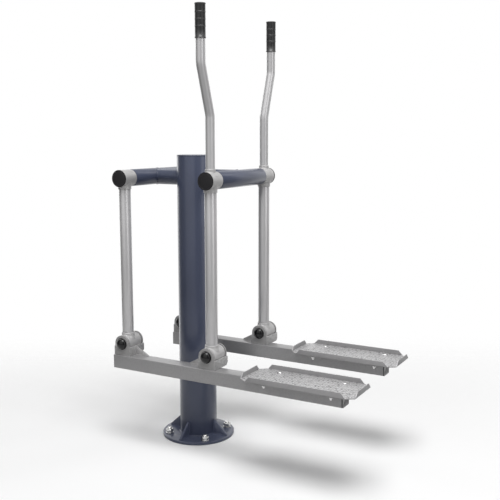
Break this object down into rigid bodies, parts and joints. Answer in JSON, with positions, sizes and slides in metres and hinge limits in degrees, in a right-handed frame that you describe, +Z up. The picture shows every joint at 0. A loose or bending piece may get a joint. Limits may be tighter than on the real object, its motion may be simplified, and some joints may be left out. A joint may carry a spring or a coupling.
{
  "type": "outdoor air walker",
  "caption": "Outdoor fitness walker on a round post: footplates on beams that swing from hangers below a top frame, with tall bent handles.",
  "frame": {"origin": "centre of the base plate's underside, on the ground", "axes": "+Z up along the post, -X the way the user faces, +X towards the footplates, -Y the user's left"},
  "size_m": [0.969, 0.5594, 1.555],
  "materials": {
    "blue": "semi-gloss slate blue powder coat",
    "silver": "silver grey powder coat",
    "tread": "galvanised tread sheet",
    "zinc": "zinc plated",
    "steel": "machined bearing steel",
    "plastic": "black moulded plastic",
    "gloss": "glossy black cover on a steel bolt",
    "rubber": "black rubber grip"
  },
  "bodies": {
    "frame": {"base_plate": "blue", "anchor_bolt_1": "zinc", "anchor_bolt_2": "zinc", "anchor_bolt_3": "zinc", "anchor_bolt_4": "zinc", "post": "blue", "post_cap": "blue", "spine_tube_rear": "blue", "spine_tube_front": "blue", "cross_tube_rear": "blue", "cross_tube_front": "blue", "left_rear_stub_axle": "steel", "left_front_stub_axle": "steel", "right_rear_stub_axle": "steel", "right_front_stub_axle": "steel"},
    "left_rear_hanger": {"left_rear_top_housing": "silver", "left_rear_top_cap": "plastic", "left_rear_top_bearing": "steel", "left_rear_hanger_tube": "silver", "left_handle_tube": "silver", "left_grip": "rubber", "left_rear_hub": "silver", "left_rear_hub_bearing": "steel"},
    "left_front_hanger": {"left_front_top_housing": "silver", "left_front_top_cap": "plastic", "left_front_top_bearing": "steel", "left_front_hanger_tube": "silver", "left_front_hub": "silver", "left_front_hub_bearing": "steel"},
    "left_beam": {"left_foot_beam": "silver", "left_beam_plug_rear": "plastic", "left_beam_plug_front": "silver", "left_rear_clevis": "silver", "left_front_clevis": "silver", "left_rear_pivot_bolt": "gloss", "left_front_pivot_bolt": "gloss", "left_footplate": "tread"},
    "right_rear_hanger": {"right_rear_top_housing": "silver", "right_rear_top_cap": "plastic", "right_rear_top_bearing": "steel", "right_rear_hanger_tube": "silver", "right_handle_tube": "silver", "right_grip": "rubber", "right_rear_hub": "silver", "right_rear_hub_bearing": "steel"},
    "right_front_hanger": {"right_front_top_housing": "silver", "right_front_top_cap": "plastic", "right_front_top_bearing": "steel", "right_front_hanger_tube": "silver", "right_front_hub": "silver", "right_front_hub_bearing": "steel"},
    "right_beam": {"right_foot_beam": "silver", "right_beam_plug_rear": "plastic", "right_beam_plug_front": "silver", "right_rear_clevis": "silver", "right_front_clevis": "silver", "right_rear_pivot_bolt": "gloss", "right_front_pivot_bolt": "gloss", "right_footplate": "tread"}
  },
  "joints": [
    {"name": "left_rear_swing", "type": "hinge", "parent": "frame", "child": "left_rear_hanger", "pos_m": [0.182, -0.19, 0.983], "axis": [0, 1, 0], "range_deg": [-30, 30]},
    {"name": "left_front_swing", "type": "hinge", "parent": "frame", "child": "left_front_hanger", "pos_m": [-0.182, -0.19, 0.983], "axis": [0, 1, 0], "range_deg": [-30, 30]},
    {"name": "left_beam_pivot", "type": "hinge", "parent": "left_rear_hanger", "child": "left_beam", "pos_m": [0.182, -0.19, 0.38], "axis": [0, 1, 0], "range_deg": [-30, 30]},
    {"name": "right_rear_swing", "type": "hinge", "parent": "frame", "child": "right_rear_hanger", "pos_m": [0.182, 0.19, 0.983], "axis": [0, 1, 0], "range_deg": [-30, 30]},
    {"name": "right_front_swing", "type": "hinge", "parent": "frame", "child": "right_front_hanger", "pos_m": [-0.182, 0.19, 0.983], "axis": [0, 1, 0], "range_deg": [-30, 30]},
    {"name": "right_beam_pivot", "type": "hinge", "parent": "right_rear_hanger", "child": "right_beam", "pos_m": [0.182, 0.19, 0.38], "axis": [0, 1, 0], "range_deg": [-30, 30]}
  ],
  "couplings": [
    {"joint": "left_front_swing", "follows": "left_rear_swing", "ratio": 1},
    {"joint": "left_beam_pivot", "follows": "left_rear_swing", "ratio": -1},
    {"joint": "right_front_swing", "follows": "right_rear_swing", "ratio": 1},
    {"joint": "right_beam_pivot", "follows": "right_rear_swing", "ratio": -1}
  ]
}
